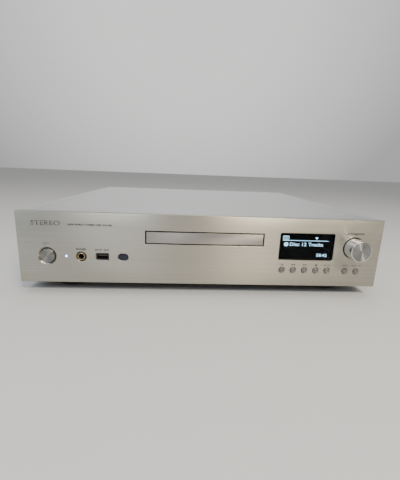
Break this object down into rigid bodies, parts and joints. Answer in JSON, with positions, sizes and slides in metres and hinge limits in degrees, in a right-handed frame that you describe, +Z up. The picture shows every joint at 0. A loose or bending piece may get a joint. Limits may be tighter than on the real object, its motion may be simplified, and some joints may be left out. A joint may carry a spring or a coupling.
{
  "type": "compact disc player",
  "caption": "Full-width hi-fi disc player with brushed silver front, central sliding tray, lit display, round press buttons and a turning select knob.",
  "frame": {"origin": "middle of the footprint, on the plane the feet stand on", "axes": "+X to the right seen from the front, +Y to the rear (the front panel faces -Y), +Z up"},
  "size_m": [0.43, 0.407, 0.098],
  "materials": {
    "front_panel": "brushed along its length, silver anodised, chamfered edges",
    "cabinet": "fine satin grey-silver",
    "steel_black": "matt black paint on sheet steel",
    "steel_zinc": "plain zinc-plated steel",
    "screws": "darkened steel screws",
    "rubber": "matt black rubber",
    "controls": "turned on the face, smooth on the side",
    "window": "polished black see-through acrylic",
    "screen": "black display glass with pale blue-white lit signs",
    "led": "lit white-blue light pipe",
    "board": "green solder mask on glass-fibre board",
    "gold": "gold plated",
    "nickel": "nickel plated",
    "plastic_black": "moulded black plastic",
    "plastic_grey": "moulded grey plastic",
    "plastic_white": "moulded off-white acetal"
  },
  "bodies": {
    "cabinet": {"front_panel": "front_panel", "side_left": "cabinet", "side_right": "cabinet", "top_plate": "cabinet", "bottom_chassis": "steel_black", "rear_panel": "steel_black", "display_window": "window", "display_module": "screen", "power_led": "led", "ir_window": "window", "phones_jack": "gold", "usb_port": "nickel", "front_board": "board", "main_board": "board", "power_board": "board", "xlr_left": "plastic_black", "xlr_right": "plastic_black", "rca_left": "gold", "rca_right": "gold", "coaxial_out": "nickel", "optical_out": "plastic_black", "lan_port": "nickel", "ac_inlet": "plastic_black", "loader_frame": "plastic_black", "loading_motor": "steel_zinc", "loading_belt": "rubber", "clamper_bridge": "steel_zinc", "foot_fl": "rubber", "top_screw_fl": "screws", "foot_fr": "rubber", "top_screw_fr": "screws", "foot_rl": "rubber", "top_screw_rl": "screws", "foot_rr": "rubber", "top_screw_rr": "screws"},
    "power_button": {"power_button": "controls"},
    "encoder": {"encoder_shaft": "nickel", "select_knob": "controls"},
    "tray": {"disc_tray": "plastic_black", "tray_front": "front_panel"},
    "motor_pulley": {"motor_pulley": "gold"},
    "pulley_gear": {"pulley_gear": "plastic_white"},
    "drive_gear": {"drive_gear": "plastic_white"},
    "cam_slider": {"cam_slider": "plastic_grey"},
    "traverse": {"traverse_frame": "steel_zinc", "spindle_motor": "steel_zinc", "guide_rod_left": "nickel", "guide_rod_right": "nickel", "sled_motor": "steel_zinc"},
    "turntable": {"turntable": "plastic_black"},
    "sled": {"pickup_sled": "plastic_grey"},
    "lead_screw": {"lead_screw": "nickel"},
    "clamper": {"clamper_puck": "plastic_white"},
    "button_eject": {"button_eject": "controls"},
    "button_prev": {"button_prev": "controls"},
    "button_next": {"button_next": "controls"},
    "button_stop": {"button_stop": "controls"},
    "button_play": {"button_play": "controls"},
    "button_input": {"button_input": "controls"},
    "button_menu": {"button_menu": "controls"}
  },
  "joints": [
    {"name": "tray_slide", "type": "slide", "parent": "cabinet", "child": "tray", "axis": [0, -1, 0], "range_m": [0, 0.142]},
    {"name": "motor_pulley_spin", "type": "hinge", "parent": "cabinet", "child": "motor_pulley", "pos_m": [-0.025, -0.1575, 0.057], "axis": [0, 0, 1], "continuous": true},
    {"name": "pulley_gear_spin", "type": "hinge", "parent": "cabinet", "child": "pulley_gear", "pos_m": [0.0255, -0.1575, 0.057], "axis": [0, 0, 1], "continuous": true},
    {"name": "drive_gear_spin", "type": "hinge", "parent": "cabinet", "child": "drive_gear", "pos_m": [0.043, -0.1575, 0.057], "axis": [0, 0, 1], "continuous": true},
    {"name": "traverse_tilt", "type": "hinge", "parent": "cabinet", "child": "traverse", "pos_m": [0, 0.005, 0.0555], "axis": [1, 0, 0], "range_deg": [0, 4]},
    {"name": "cam_slide", "type": "slide", "parent": "cabinet", "child": "cam_slider", "axis": [1, 0, 0], "range_m": [0, 0.02]},
    {"name": "turntable_spin", "type": "hinge", "parent": "traverse", "child": "turntable", "pos_m": [0, -0.11, 0.07], "axis": [0, 0, 1], "continuous": true},
    {"name": "clamper_spin", "type": "hinge", "parent": "cabinet", "child": "clamper", "pos_m": [0, -0.11, 0.0801], "axis": [0, 0, 1], "continuous": true},
    {"name": "sled_slide", "type": "slide", "parent": "traverse", "child": "sled", "axis": [0, 1, 0], "range_m": [0, 0.034]},
    {"name": "lead_screw_spin", "type": "hinge", "parent": "traverse", "child": "lead_screw", "pos_m": [0.0345, -0.028, 0.06], "axis": [0, 1, 0], "continuous": true},
    {"name": "knob_spin", "type": "hinge", "parent": "cabinet", "child": "encoder", "pos_m": [0.1817, -0.1766, 0.0634], "axis": [0, -1, 0], "continuous": true},
    {"name": "power_press", "type": "slide", "parent": "cabinet", "child": "power_button", "axis": [0, 1, 0], "range_m": [0, 0.001], "stiffness_N_per_m": 900},
    {"name": "eject_press", "type": "slide", "parent": "cabinet", "child": "button_eject", "axis": [0, 1, 0], "range_m": [0, 0.0008], "stiffness_N_per_m": 700},
    {"name": "prev_press", "type": "slide", "parent": "cabinet", "child": "button_prev", "axis": [0, 1, 0], "range_m": [0, 0.0008], "stiffness_N_per_m": 700},
    {"name": "next_press", "type": "slide", "parent": "cabinet", "child": "button_next", "axis": [0, 1, 0], "range_m": [0, 0.0008], "stiffness_N_per_m": 700},
    {"name": "stop_press", "type": "slide", "parent": "cabinet", "child": "button_stop", "axis": [0, 1, 0], "range_m": [0, 0.0008], "stiffness_N_per_m": 700},
    {"name": "play_press", "type": "slide", "parent": "cabinet", "child": "button_play", "axis": [0, 1, 0], "range_m": [0, 0.0008], "stiffness_N_per_m": 700},
    {"name": "input_press", "type": "slide", "parent": "cabinet", "child": "button_input", "axis": [0, 1, 0], "range_m": [0, 0.0008], "stiffness_N_per_m": 700},
    {"name": "menu_press", "type": "slide", "parent": "cabinet", "child": "button_menu", "axis": [0, 1, 0], "range_m": [0, 0.0008], "stiffness_N_per_m": 700}
  ],
  "couplings": [
    {"joint": "drive_gear_spin", "follows": "tray_slide", "rad_per_m": -100},
    {"joint": "pulley_gear_spin", "follows": "tray_slide", "rad_per_m": 133.33},
    {"joint": "motor_pulley_spin", "follows": "tray_slide", "rad_per_m": 421.62},
    {"joint": "cam_slide", "follows": "traverse_tilt", "m_per_rad": 0.28648},
    {"joint": "lead_screw_spin", "follows": "sled_slide", "rad_per_m": 2094.4},
    {"joint": "clamper_spin", "follows": "turntable_spin", "ratio": 1}
  ]
}
